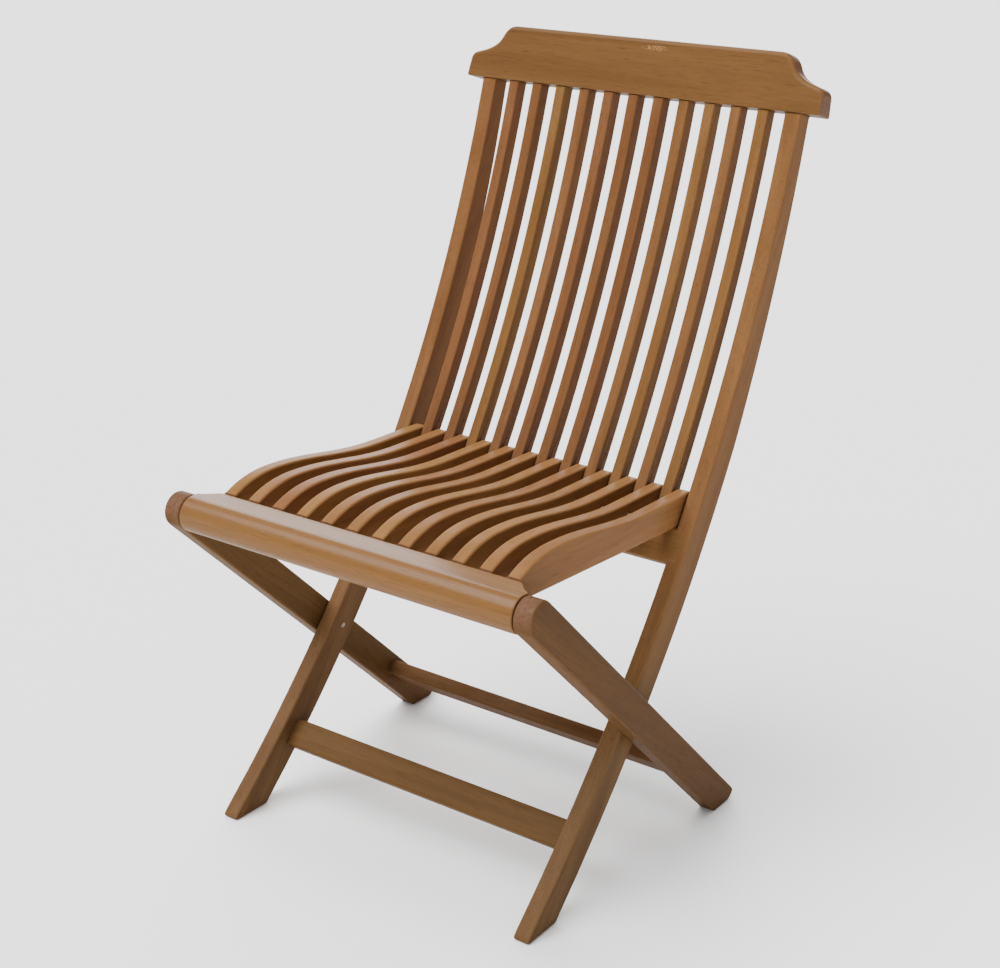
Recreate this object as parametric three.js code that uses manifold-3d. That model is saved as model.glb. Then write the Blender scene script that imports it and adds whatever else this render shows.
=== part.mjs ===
// Folding chair in solid hardwood, all sizes in millimetres, +Z up, +Y towards the back, +X to the left
// of someone who sits in it. Two curved stiles carry the back and run down to the front feet. Two
// straight legs cross them outside and run up to the front rail, on which the slatted seat turns.
import * as THREE from "three";
import Module from "manifold-3d";
import { mergeVertices } from "three/addons/utils/BufferGeometryUtils.js";

const wasm = await Module();
wasm.setup();

// Overall frame
const CLEAR_WIDTH = 398; // between the two stiles
const BACK_RADIUS = 1674; // the front edge of the back is one arc from toe to top rail
const BACK_TOE_Y = -238.8; // where that arc meets the floor
const BACK_TOP_Y = 255.5; // where it meets the underside of the top rail
const BACK_TOP_Z = 835.6;

// Stiles
const STILE_THICKNESS = 20;
const STILE_DEPTH = 42;
const STILE_TOP_DEPTH = 27;
const STILE_TAPER_START = 480; // height at which the stile begins to narrow
const TOE_ROUND = 12;

// Back slats and rails
const BACK_SLATS = 11;
const BACK_SLAT_THICKNESS = 14;
const BACK_SLAT_DEPTH = 20;
const LOWER_RAIL_HEIGHT = 34;
const LOWER_RAIL_DEPTH = 20;
const TOP_RAIL_OVERHANG = 23; // beyond the outer face of each stile
const TOP_RAIL_HEIGHT = 66.5;
const TOP_RAIL_THICKNESS = 30;
const TOP_RAIL_PROUD = 1.5; // in front of the slats
const TOP_RAIL_END_HEIGHT = 21.5; // the straight part of each end
const TOP_RAIL_END_ROUND = 10;
const TOP_RAIL_END_TURN = 70; // how far that rounding turns, in degrees
const TOP_RAIL_SHOULDER = 60; // from the end to where the top runs straight
const TOP_RAIL_KNEE = 0.68; // where the shoulder's two curves meet, as shares of its run
const TOP_RAIL_KNEE_RISE = 0.54; // and of its rise
const TOP_RAIL_EASE = 3; // softened edges

// Legs
const PIVOT_HEIGHT = 188; // of the crossing above the floor
const LEG_ANGLE = 41.4; // of the leg above the floor, in degrees
const LEG_WIDTH = 40.5;
const LEG_THICKNESS = 22;
const LEG_GAP = 1.5; // between stile and leg, filled by a washer
const HEEL_BEVEL_RUN = 13;
const HEEL_BEVEL_RISE = 9.5;

// Seat
const SEAT_AXIS_HEIGHT = 399; // of the front rail's pivot above the floor
const RAIL_RADIUS = 20.5; // half the front rail's height, and its round nose
const RAIL_REAR = 27.5; // from the pivot back to the rail's rear face
const RAIL_CORNER = 7; // rounding under the rear face
const RAIL_END_REAR = 9; // the same distance at the rail's two cut-back ends
const OGEE_LEAVE = 0.2; // where the ogee has left the rear face, as a share of its run
const OGEE_MEET = 0.6; // where it begins to meet the cut-back end
const RAIL_END_GAP = 1; // between the rail and each leg
const SLAT_SIDE_PLAY = 2.2; // between a seat slat and the back slat or stile beside it
const CREST_RISE = 16.8; // of the seat's front wave above the rail
const CREST_SETBACK = 68; // from the rail's rear face to the crest
const DIP_LENGTH = 96; // level rear part of the seat, up to the slats' tips
const SLAT_FRONT_DEPTH = 24; // at the rail
const SLAT_REAR_DEPTH = 37.2; // over the lower back rail
const SLAT_TIP_ROUND = 11;
const HOOK_DROP = 10.5; // of the slat's lip behind the lower back rail
const HOOK_PLAY = 2;
const SLAT_NOSE_PLAY = 0.3;
const SLAT_NOSE_RISE = 1; // of the slat's top above the rail, where they meet

// Stretchers
const FRONT_STRETCHER_WIDTH = 34;
const FRONT_STRETCHER_THICKNESS = 17;
const FRONT_STRETCHER_INSET = 19; // behind the stile's front edge
const FRONT_STRETCHER_HEIGHT = 74; // of its middle above the floor
const REAR_STRETCHER_WIDTH = 38;
const REAR_STRETCHER_THICKNESS = 18;
const REAR_STRETCHER_INSET = 15; // above the leg's lower edge
const REAR_STRETCHER_FROM_PIVOT = 187.5; // along the leg to its middle

// Joinery and fasteners
const FIT = 0.3; // between surfaces that touch
const TENON_SHOULDER = 3; // smallest step around a tenon
const STILE_TENON_SHOULDER = 4;
const OVERRUN = 1; // by which a tenon starts inside its board and a cutter starts outside it
const SLAT_TENON = 15;
const SEAT_TENON = 18;
const STILE_TENON = 26;
const STRETCHER_TENON = 12;
const PIVOT_PIN_RADIUS = 2.5;
const PIVOT_PIN_HEAD_RADIUS = 3.4;
const PIVOT_PIN_HEAD = 1;
const PIVOT_PIN_DEPTH = 15; // into the leg
const RAIL_PIN_RADIUS = 4;
const RAIL_PIN_IN_RAIL = 24;
const RAIL_PIN_IN_LEG = 15;
const WASHER_RADIUS = 9;
const ROD_RADIUS = 4;
const ROD_COVER = 5; // wood left over each end of the blind rod
const ROD_SETBACK = 50; // in front of the lower back rail
const ROD_DEPTH = 15.5; // below the seat's level part
const EASE = 1.5; // softened long edges
const EASE_FINE = 1;

// Materials
const wood = (name, color, roughness) => Object.assign(
  new THREE.MeshStandardMaterial({ color, roughness, metalness: 0 }), { name });
const backWood = wood("back_wood", 0x96704c, 0.42);
const legWood = wood("leg_wood", 0x6b5038, 0.45);
const seatWood = wood("seat_wood", 0x94694a, 0.38);
const steel = new THREE.MeshStandardMaterial({ color: 0xa9a9a6, roughness: 0.35, metalness: 1 });

// Derived widths, from the middle plane outwards
const stileInner = CLEAR_WIDTH / 2;
const stileOuter = stileInner + STILE_THICKNESS;
const legInner = stileOuter + LEG_GAP;
const legOuter = legInner + LEG_THICKNESS;
const slatGap = (CLEAR_WIDTH - BACK_SLATS * BACK_SLAT_THICKNESS) / (BACK_SLATS + 1);
const slatPitch = slatGap + BACK_SLAT_THICKNESS;
const seatSlatThickness = slatGap - 2 * SLAT_SIDE_PLAY;

// The back's arc: its centre lies in front of and above the chair
const toe = new THREE.Vector2(BACK_TOE_Y, 0);
const topFront = new THREE.Vector2(BACK_TOP_Y, BACK_TOP_Z);
const chord = topFront.clone().sub(toe);
const sagittaArm = Math.sqrt(BACK_RADIUS ** 2 - chord.lengthSq() / 4);
const arcCentre = toe.clone().add(topFront).multiplyScalar(0.5)
  .addScaledVector(new THREE.Vector2(-chord.y, chord.x).normalize(), sagittaArm);

// Angle on the arc, at a height, of a line that runs `inset` behind the front edge
const arcAngle = (height, inset = 0) => Math.asin((height - arcCentre.y) / (BACK_RADIUS + inset));
const arcPoint = (angle, inset = 0) => new THREE.Vector2(
  arcCentre.x + (BACK_RADIUS + inset) * Math.cos(angle),
  arcCentre.y + (BACK_RADIUS + inset) * Math.sin(angle));
const backPoint = (height, inset = 0) => arcPoint(arcAngle(height, inset), inset);
const topAngle = arcAngle(BACK_TOP_Z);

// Pivots
const pivot = backPoint(PIVOT_HEIGHT, STILE_DEPTH / 2);
const legDown = new THREE.Vector2(1, 0).rotateAround(new THREE.Vector2(), -LEG_ANGLE * Math.PI / 180);
const legAcross = new THREE.Vector2(-legDown.y, legDown.x);
const legTop = pivot.clone().addScaledVector(legDown, -(SEAT_AXIS_HEIGHT - PIVOT_HEIGHT) / -legDown.y);
const seatLevel = SEAT_AXIS_HEIGHT + RAIL_RADIUS;
const lowerRailTop = seatLevel - SLAT_REAR_DEPTH - FIT;

const steps = (count) => Array.from({ length: count + 1 }, (_, i) => i / count);
const mix = (a, b, t) => a + (b - a) * t;

// Points of a line that follows the arc, between two angles
function arcRun(from, to, insetAt, count) {
  return steps(count).map((t) => arcPoint(mix(from, to, t), insetAt(mix(from, to, t))));
}

// Quadratic rounding of a corner, its two ends included
function roundCorner(start, corner, end, count = 4) {
  return new THREE.QuadraticBezierCurve(start, corner, end).getPoints(count);
}

// A board whose side outline lies in the Y-Z plane and whose thickness runs along X
function board(outline, fromX, toX, ease = EASE) {
  const geometry = new THREE.ExtrudeGeometry(new THREE.Shape(outline), {
    depth: toX - fromX - 2 * ease,
    bevelThickness: ease,
    bevelSize: ease,
    bevelOffset: -ease,
    bevelSegments: 1,
    bevelEnabled: ease > 0,
  });
  geometry.translate(0, 0, fromX + ease);
  return geometry.applyMatrix4(sideToWorld);
}
// Local X, Y, Z of an outline become world Y, Z, X
const sideToWorld = new THREE.Matrix4().makeBasis(
  new THREE.Vector3(0, 1, 0), new THREE.Vector3(0, 0, 1), new THREE.Vector3(1, 0, 0));

// A four-sided outline around a middle point: `along` and `across` are its two half sizes
function block(middle, direction, along, across) {
  const side = new THREE.Vector2(-direction.y, direction.x);
  return [[-1, -1], [1, -1], [1, 1], [-1, 1]].map(([a, b]) => middle.clone()
    .addScaledVector(direction, a * along).addScaledVector(side, b * across));
}

// A round bar along X
function bar(centre, radius, fromX, toX, sides = 16) {
  const geometry = new THREE.CylinderGeometry(radius, radius, toX - fromX, sides);
  geometry.rotateZ(-Math.PI / 2);
  return geometry.translate((fromX + toX) / 2, centre.x, centre.y);
}

// Booleans
function solid(geometry) {
  const bare = geometry.index ? geometry.toNonIndexed() : geometry.clone();
  bare.deleteAttribute("normal");
  bare.deleteAttribute("uv");
  const merged = mergeVertices(bare, 1e-4);
  return new wasm.Manifold(new wasm.Mesh({
    numProp: 3,
    vertProperties: new Float32Array(merged.attributes.position.array),
    triVerts: new Uint32Array(merged.index.array),
  }));
}
function shaped(base, { add = [], cut = [] }) {
  let result = solid(base);
  for (const piece of add) {
    result = result.add(solid(piece));
  }
  for (const piece of cut) {
    result = result.subtract(solid(piece));
  }
  const mesh = result.getMesh();
  const geometry = new THREE.BufferGeometry();
  geometry.setAttribute("position", new THREE.BufferAttribute(mesh.vertProperties, 3));
  geometry.setIndex(new THREE.BufferAttribute(mesh.triVerts, 1));
  geometry.computeVertexNormals();
  return geometry;
}

const chair = new THREE.Group();
function place(name, geometry, material) {
  const mesh = new THREE.Mesh(geometry, material);
  mesh.name = name;
  chair.add(mesh);
}
const sides = [["left", 1], ["right", -1]];
const span = (sign, near, far) => (sign > 0 ? [near, far] : [-far, -near]);
const pad = (n) => String(n).padStart(2, "0");

// Tenon sections shared by a tenon and, with the fit added, by its mortise
const stretcherDirection = arcPoint(arcAngle(FRONT_STRETCHER_HEIGHT) + 0.01)
  .sub(arcPoint(arcAngle(FRONT_STRETCHER_HEIGHT) - 0.01)).normalize();
const frontStretcherMiddle = backPoint(FRONT_STRETCHER_HEIGHT,
  FRONT_STRETCHER_INSET + FRONT_STRETCHER_THICKNESS / 2);
const rearStretcherMiddle = pivot.clone().addScaledVector(legDown, REAR_STRETCHER_FROM_PIVOT)
  .addScaledVector(legAcross, REAR_STRETCHER_INSET + REAR_STRETCHER_THICKNESS / 2 - LEG_WIDTH / 2);
const lowerRailMiddle = backPoint(lowerRailTop - LOWER_RAIL_HEIGHT / 2, LOWER_RAIL_DEPTH / 2);
const railSlope = arcPoint(arcAngle(lowerRailMiddle.y) + 0.01)
  .sub(arcPoint(arcAngle(lowerRailMiddle.y) - 0.01)).normalize();

function frontStretcherTenon(grow) {
  return block(frontStretcherMiddle, stretcherDirection,
    FRONT_STRETCHER_WIDTH / 2 - TENON_SHOULDER + grow, FRONT_STRETCHER_THICKNESS / 2 - TENON_SHOULDER + grow);
}
function rearStretcherTenon(grow) {
  return block(rearStretcherMiddle, legDown,
    REAR_STRETCHER_WIDTH / 2 - TENON_SHOULDER + grow, REAR_STRETCHER_THICKNESS / 2 - TENON_SHOULDER + grow);
}
function lowerRailTenon(grow) {
  return block(lowerRailMiddle, railSlope,
    LOWER_RAIL_HEIGHT / 2 - 2 * TENON_SHOULDER + grow, LOWER_RAIL_DEPTH / 2 - TENON_SHOULDER + grow);
}

// Top rail's own directions: up along the end of the arc, and back through its thickness
const railUp = new THREE.Vector2(-Math.sin(topAngle), Math.cos(topAngle));
const railBack = new THREE.Vector2(Math.cos(topAngle), Math.sin(topAngle));
const onTopRail = (up, back) => topFront.clone().addScaledVector(railUp, up).addScaledVector(railBack, back);

// Tenon that stands on the end of the arc and goes into the top rail
function topTenon(depth, length, grow) {
  const half = depth / 2 - TENON_SHOULDER + grow;
  return [onTopRail(-OVERRUN, depth / 2 - half), onTopRail(-OVERRUN, depth / 2 + half),
    onTopRail(length + grow, depth / 2 + half), onTopRail(length + grow, depth / 2 - half)];
}
// Tenon on the foot of a back slat, into the lower back rail
function footTenon(grow) {
  const half = BACK_SLAT_DEPTH / 2 - TENON_SHOULDER + grow;
  const foot = backPoint(lowerRailTop, BACK_SLAT_DEPTH / 2);
  return block(foot.clone().addScaledVector(railSlope, -SLAT_TENON / 2 + OVERRUN), railSlope,
    SLAT_TENON / 2 + OVERRUN + grow, half);
}

function stileWidth(angle) {
  const start = arcAngle(STILE_TAPER_START);
  const t = Math.max(0, (angle - start) / (topAngle - start));
  return mix(STILE_DEPTH, STILE_TOP_DEPTH, t);
}
function stileOutline() {
  const toeStart = backPoint(TOE_ROUND * 0.8);
  const end = topAngle - FIT / BACK_RADIUS;
  const front = arcRun(end, arcAngle(toeStart.y), () => 0, 20);
  const sole = roundCorner(toeStart, toe, new THREE.Vector2(toe.x + TOE_ROUND, 0)).slice(1);
  const heelAngle = arcAngle(0, STILE_DEPTH);
  const taperAngle = arcAngle(STILE_TAPER_START);
  const rear = arcRun(heelAngle, taperAngle, () => STILE_DEPTH, 12);
  const taper = arcRun(taperAngle, end, stileWidth, 9).slice(1);
  return [...front, ...sole, ...rear, ...taper];
}

function makeStile(sign) {
  const [x0, x1] = span(sign, stileInner, stileOuter);
  const [t0, t1] = span(sign, stileInner + STILE_TENON_SHOULDER, stileOuter - STILE_TENON_SHOULDER);
  const [m0, m1] = span(sign, stileInner - OVERRUN, stileInner + STRETCHER_TENON + FIT);
  const [h0, h1] = span(sign, stileInner - OVERRUN, stileOuter + OVERRUN);
  return shaped(board(stileOutline(), x0, x1), {
    add: [board(topTenon(STILE_TOP_DEPTH, STILE_TENON, 0), t0, t1, 0)],
    cut: [
      board(frontStretcherTenon(FIT), m0, m1, 0),
      board(lowerRailTenon(FIT), m0, m1, 0),
      bar(pivot, PIVOT_PIN_RADIUS + FIT, h0, h1),
    ],
  });
}
sides.forEach(([side, sign]) => place(`${side}_stile`, makeStile(sign), backWood));

function makeBackSlat(x) {
  const half = BACK_SLAT_THICKNESS / 2;
  const foot = lowerRailTop + FIT;
  const end = topAngle - FIT / BACK_RADIUS;
  const front = arcRun(end, arcAngle(foot), () => 0, 12);
  const rear = arcRun(arcAngle(foot, BACK_SLAT_DEPTH), end, () => BACK_SLAT_DEPTH, 12);
  return shaped(board([...front, ...rear], x - half, x + half, EASE_FINE), {
    add: [
      board(topTenon(BACK_SLAT_DEPTH, SLAT_TENON, 0), x - half + TENON_SHOULDER, x + half - TENON_SHOULDER, 0),
      board(footTenon(0), x - half + TENON_SHOULDER, x + half - TENON_SHOULDER, 0),
    ],
  });
}
const backSlatX = steps(BACK_SLATS - 1).map((t) => mix(1, -1, t) * slatPitch * (BACK_SLATS - 1) / 2);
backSlatX.forEach((x, i) => place(`back_slat_${pad(i + 1)}`, makeBackSlat(x), backWood));

function makeLowerRail() {
  const bottom = lowerRailTop - LOWER_RAIL_HEIGHT;
  const outline = [
    backPoint(lowerRailTop), backPoint(bottom),
    arcPoint(arcAngle(bottom), LOWER_RAIL_DEPTH), backPoint(lowerRailTop, LOWER_RAIL_DEPTH),
  ];
  const half = BACK_SLAT_THICKNESS / 2 - TENON_SHOULDER + FIT;
  const end = stileInner - FIT;
  const tip = stileInner + STRETCHER_TENON;
  return shaped(board(outline, -end, end, EASE_FINE), {
    add: [board(lowerRailTenon(0), -tip, tip, 0)],
    cut: backSlatX.map((x) => board(footTenon(FIT), x - half, x + half, 0)),
  });
}
place("lower_back_rail", makeLowerRail(), backWood);

// Half outline of the top rail, seen from the front: straight end, ogee shoulder, straight top
function topRailOutline() {
  const half = stileOuter + TOP_RAIL_OVERHANG;
  const round = TOP_RAIL_END_ROUND;
  const lean = TOP_RAIL_END_TURN * Math.PI / 180;
  const lip = new THREE.Vector2(half - round + round * Math.cos(lean),
    TOP_RAIL_END_HEIGHT + round * Math.sin(lean));
  const knee = new THREE.Vector2(half - TOP_RAIL_SHOULDER * TOP_RAIL_KNEE,
    mix(lip.y, TOP_RAIL_HEIGHT, TOP_RAIL_KNEE_RISE));
  const pull = TOP_RAIL_SHOULDER / 9; // of each curve's middle point away from the knee
  const crown = new THREE.Vector2(half - TOP_RAIL_SHOULDER, TOP_RAIL_HEIGHT);
  const path = new THREE.Path();
  path.moveTo(half, 0);
  path.lineTo(half, TOP_RAIL_END_HEIGHT);
  path.absarc(half - round, TOP_RAIL_END_HEIGHT, round, 0, lean, false);
  path.quadraticCurveTo(knee.x + pull, lip.y + pull, knee.x, knee.y);
  path.quadraticCurveTo(knee.x - pull, TOP_RAIL_HEIGHT, crown.x, crown.y);
  const right = path.getPoints(4);
  const left = right.map((p) => new THREE.Vector2(-p.x, p.y)).reverse();
  return [...right, ...left];
}
// The top rail's board stands on the end of the arc: outline X stays X, outline Y runs up the rail
const topRailFrame = new THREE.Matrix4().makeBasis(
  new THREE.Vector3(1, 0, 0),
  new THREE.Vector3(0, railUp.x, railUp.y),
  new THREE.Vector3(0, -railBack.x, -railBack.y));
function makeTopRail() {
  const ease = TOP_RAIL_EASE;
  const geometry = new THREE.ExtrudeGeometry(new THREE.Shape(topRailOutline()), {
    depth: TOP_RAIL_THICKNESS - 2 * ease,
    bevelThickness: ease,
    bevelSize: ease,
    bevelOffset: -ease,
    bevelSegments: 2,
  });
  const rearFace = onTopRail(0, TOP_RAIL_THICKNESS - TOP_RAIL_PROUD - ease);
  geometry.applyMatrix4(topRailFrame).translate(0, rearFace.x, rearFace.y);
  const slatHalf = BACK_SLAT_THICKNESS / 2 - TENON_SHOULDER + FIT;
  const inset = STILE_TENON_SHOULDER - FIT;
  return shaped(geometry, {
    cut: [
      ...backSlatX.map((x) => board(topTenon(BACK_SLAT_DEPTH, SLAT_TENON, FIT), x - slatHalf, x + slatHalf, 0)),
      ...sides.map(([, sign]) => board(topTenon(STILE_TOP_DEPTH, STILE_TENON, FIT),
        ...span(sign, stileInner + inset, stileOuter - inset), 0)),
    ],
  });
}
place("top_rail", makeTopRail(), backWood);

function makeStretcher(tenon, middle, direction, width, thickness, reach) {
  const end = reach - FIT;
  const tip = reach + STRETCHER_TENON;
  return shaped(board(block(middle, direction, width / 2, thickness / 2), -end, end, EASE_FINE), {
    add: [board(tenon(0), -tip, tip, 0)],
  });
}
place("front_stretcher", makeStretcher(frontStretcherTenon, frontStretcherMiddle, stretcherDirection,
  FRONT_STRETCHER_WIDTH, FRONT_STRETCHER_THICKNESS, stileInner), backWood);
place("rear_stretcher", makeStretcher(rearStretcherTenon, rearStretcherMiddle, legDown,
  REAR_STRETCHER_WIDTH, REAR_STRETCHER_THICKNESS, legInner), legWood);

// Leg: round knuckle at the front rail, square-cut foot with a bevelled heel
function legOutline() {
  const half = LEG_WIDTH / 2;
  const start = Math.atan2(legAcross.y, legAcross.x);
  const knuckle = steps(12).map((t) => {
    const a = start + Math.PI * t;
    return new THREE.Vector2(legTop.x + half * Math.cos(a), legTop.y + half * Math.sin(a));
  });
  const onEdge = (across, height) => {
    const edge = legTop.clone().addScaledVector(legAcross, across);
    return edge.addScaledVector(legDown, (edge.y - height) / -legDown.y);
  };
  const toeEnd = onEdge(-half, 0);
  const heel = onEdge(half, HEEL_BEVEL_RISE);
  return [...knuckle, toeEnd, new THREE.Vector2(heel.x - HEEL_BEVEL_RUN, 0), heel];
}
function makeLeg(sign) {
  const [x0, x1] = span(sign, legInner, legOuter);
  const [m0, m1] = span(sign, legInner - OVERRUN, legInner + STRETCHER_TENON + FIT);
  const [p0, p1] = span(sign, legInner - OVERRUN, legInner + PIVOT_PIN_DEPTH + FIT);
  const [r0, r1] = span(sign, legInner - OVERRUN, legInner + RAIL_PIN_IN_LEG + FIT);
  return shaped(board(legOutline(), x0, x1), {
    cut: [
      board(rearStretcherTenon(FIT), m0, m1, 0),
      bar(pivot, PIVOT_PIN_RADIUS + FIT, p0, p1),
      bar(legTop, RAIL_PIN_RADIUS + FIT, r0, r1),
    ],
  });
}
sides.forEach(([side, sign]) => place(`${side}_leg`, makeLeg(sign), legWood));

// Pins and washers
function makePivotPin(sign) {
  const shank = legInner + PIVOT_PIN_DEPTH - stileInner + FIT;
  const profile = [
    [0, 0], [PIVOT_PIN_RADIUS, 0], [PIVOT_PIN_RADIUS, shank], [PIVOT_PIN_HEAD_RADIUS, shank],
    [PIVOT_PIN_HEAD_RADIUS * 0.75, shank + PIVOT_PIN_HEAD * 0.8], [0, shank + PIVOT_PIN_HEAD],
  ].map(([r, h]) => new THREE.Vector2(r, h));
  const geometry = new THREE.LatheGeometry(profile, 16);
  geometry.rotateZ(sign * Math.PI / 2);
  return geometry.translate(sign * (legInner + PIVOT_PIN_DEPTH), pivot.x, pivot.y);
}
function makeWasher(sign) {
  const thickness = LEG_GAP - 2 * FIT;
  const hole = PIVOT_PIN_RADIUS + FIT;
  const profile = [[hole, 0], [WASHER_RADIUS, 0], [WASHER_RADIUS, thickness], [hole, thickness], [hole, 0]]
    .map(([r, h]) => new THREE.Vector2(r, h));
  const geometry = new THREE.LatheGeometry(profile, 20);
  geometry.rotateZ(-Math.PI / 2);
  return geometry.translate(sign > 0 ? stileOuter + FIT : -stileOuter - FIT - thickness, pivot.x, pivot.y);
}
const railEnd = legInner - RAIL_END_GAP;
sides.forEach(([side, sign]) => {
  place(`${side}_pivot_pin`, makePivotPin(sign), steel);
  place(`${side}_pivot_washer`, makeWasher(sign), steel);
  const [x0, x1] = span(sign, railEnd - RAIL_PIN_IN_RAIL, legInner + RAIL_PIN_IN_LEG);
  place(`${side}_rail_pin`, bar(legTop, RAIL_PIN_RADIUS, x0, x1), steel);
});

// Seat slats, one in each gap of the back
const seatSlatX = steps(BACK_SLATS).map((t) => mix(1, -1, t) * slatPitch * BACK_SLATS / 2);
const railRear = legTop.x + RAIL_REAR;
const hookFront = backPoint(lowerRailTop, LOWER_RAIL_DEPTH).x + HOOK_PLAY;
const slatTip = backPoint(seatLevel - SLAT_TIP_ROUND, BACK_SLAT_DEPTH).x;
const rodCentre = new THREE.Vector2(backPoint(lowerRailTop).x - ROD_SETBACK, seatLevel - ROD_DEPTH);

function seatSlatOutline() {
  const nose = railRear + SLAT_NOSE_PLAY;
  const crest = new THREE.Vector2(railRear + CREST_SETBACK, seatLevel + CREST_RISE);
  const dip = new THREE.Vector2(slatTip - DIP_LENGTH, seatLevel);
  const reach = dip.x - crest.x;
  const rise = new THREE.CubicBezierCurve(
    new THREE.Vector2(nose, seatLevel + SLAT_NOSE_RISE),
    new THREE.Vector2(nose + CREST_SETBACK * 0.3, seatLevel + CREST_RISE * 0.72),
    new THREE.Vector2(crest.x - CREST_SETBACK * 0.38, crest.y), crest);
  const fall = new THREE.CubicBezierCurve(crest,
    new THREE.Vector2(crest.x + reach * 0.36, crest.y),
    new THREE.Vector2(dip.x - reach * 0.4, dip.y), dip);
  const tipTop = new THREE.Vector2(slatTip - SLAT_TIP_ROUND, seatLevel);
  const tip = roundCorner(new THREE.Vector2(slatTip, seatLevel - SLAT_TIP_ROUND),
    new THREE.Vector2(slatTip, seatLevel), tipTop, 5);
  const under = lowerRailTop + FIT;
  const top = [...tip, ...fall.getPoints(12).reverse(), ...rise.getPoints(8).reverse().slice(1)];
  return [
    ...top,
    new THREE.Vector2(nose, seatLevel - SLAT_FRONT_DEPTH),
    new THREE.Vector2(backPoint(lowerRailTop).x, under),
    new THREE.Vector2(hookFront, under),
    new THREE.Vector2(hookFront, lowerRailTop - HOOK_DROP),
    new THREE.Vector2(slatTip, lowerRailTop - HOOK_DROP),
  ];
}
function seatTenon(grow) {
  const middle = new THREE.Vector2(railRear - SEAT_TENON / 2 + OVERRUN, seatLevel - SLAT_FRONT_DEPTH / 2);
  return block(middle, new THREE.Vector2(1, 0),
    SEAT_TENON / 2 + OVERRUN + grow, SLAT_FRONT_DEPTH / 2 - TENON_SHOULDER + grow);
}
const rodEnd = seatSlatX[0] + seatSlatThickness / 2 - ROD_COVER;
function makeSeatSlat(x) {
  const half = seatSlatThickness / 2;
  return shaped(board(seatSlatOutline(), x - half, x + half, EASE), {
    add: [board(seatTenon(0), x - half + TENON_SHOULDER, x + half - TENON_SHOULDER, 0)],
    cut: [bar(rodCentre, ROD_RADIUS + FIT, -rodEnd - FIT, rodEnd + FIT)],
  });
}
seatSlatX.forEach((x, i) => place(`seat_slat_${pad(i + 1)}`, makeSeatSlat(x), seatWood));
place("seat_tie_rod", bar(rodCentre, ROD_RADIUS, -rodEnd, rodEnd), steel);

// Front rail: round nose, flat top, and rear corners cut back in an ogee where the stiles fold in
function frontRailOutline() {
  const nose = steps(14).map((t) => {
    const a = Math.PI * (0.5 + t);
    return new THREE.Vector2(legTop.x + RAIL_RADIUS * Math.cos(a), legTop.y + RAIL_RADIUS * Math.sin(a));
  });
  const low = legTop.y - RAIL_RADIUS;
  const corner = roundCorner(new THREE.Vector2(railRear - RAIL_CORNER, low),
    new THREE.Vector2(railRear, low), new THREE.Vector2(railRear, low + RAIL_CORNER), 4);
  return [...nose, ...corner, new THREE.Vector2(railRear, seatLevel - EASE_FINE),
    new THREE.Vector2(railRear - EASE_FINE, seatLevel)];
}
// Plan of the waste at one end, from the last slat to the end and beyond
function railEndWaste(sign) {
  const start = seatSlatX[0] + seatSlatThickness / 2 + EASE;
  const endY = legTop.x + RAIL_END_REAR;
  const ogee = new THREE.CubicBezierCurve(
    new THREE.Vector2(start, railRear), new THREE.Vector2(mix(start, railEnd, OGEE_LEAVE), railRear),
    new THREE.Vector2(mix(start, railEnd, OGEE_MEET), endY), new THREE.Vector2(railEnd + OVERRUN, endY));
  const plan = [...ogee.getPoints(8), new THREE.Vector2(railEnd + OVERRUN, railRear + OVERRUN),
    new THREE.Vector2(start, railRear + OVERRUN)].map((p) => new THREE.Vector2(sign * p.x, p.y));
  const geometry = new THREE.ExtrudeGeometry(new THREE.Shape(plan), {
    depth: 4 * RAIL_RADIUS,
    bevelEnabled: false,
  });
  return geometry.translate(0, 0, legTop.y - 2 * RAIL_RADIUS);
}
function makeFrontRail() {
  const half = seatSlatThickness / 2 - TENON_SHOULDER + FIT;
  return shaped(board(frontRailOutline(), -railEnd, railEnd, EASE_FINE), {
    cut: [
      railEndWaste(1), railEndWaste(-1),
      ...seatSlatX.map((x) => board(seatTenon(FIT), x - half, x + half, 0)),
      ...sides.map(([, sign]) => bar(legTop, RAIL_PIN_RADIUS + FIT,
        ...span(sign, railEnd - RAIL_PIN_IN_RAIL - FIT, railEnd + OVERRUN))),
    ],
  });
}
place("front_rail", makeFrontRail(), seatWood);

// Stand the chair with the middle of its footprint on the origin
const extent = new THREE.Box3().setFromObject(chair);
chair.position.y = -(extent.min.y + extent.max.y) / 2;
chair.updateMatrixWorld(true);

export default chair;
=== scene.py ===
import math
import random

import bmesh
import bpy
from bpy.props import FloatProperty, FloatVectorProperty, PointerProperty
from mathutils import Matrix, Vector


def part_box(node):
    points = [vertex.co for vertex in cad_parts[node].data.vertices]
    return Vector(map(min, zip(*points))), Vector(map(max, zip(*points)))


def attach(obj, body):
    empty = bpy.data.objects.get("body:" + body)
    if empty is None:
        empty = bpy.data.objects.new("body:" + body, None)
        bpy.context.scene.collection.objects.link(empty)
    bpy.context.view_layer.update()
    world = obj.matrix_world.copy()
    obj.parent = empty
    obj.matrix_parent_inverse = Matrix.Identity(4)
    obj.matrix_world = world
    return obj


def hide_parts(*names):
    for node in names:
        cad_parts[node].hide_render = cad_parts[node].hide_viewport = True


bl_info = {
    "name": "Folding Chair",
    "version": (1, 0, 0),
    "blender": (4, 5, 0),
    "location": "View3D > Sidebar > Chair",
    "description": "Finishes a slatted folding chair around its packed model",
    "category": "Object",
}

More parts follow.
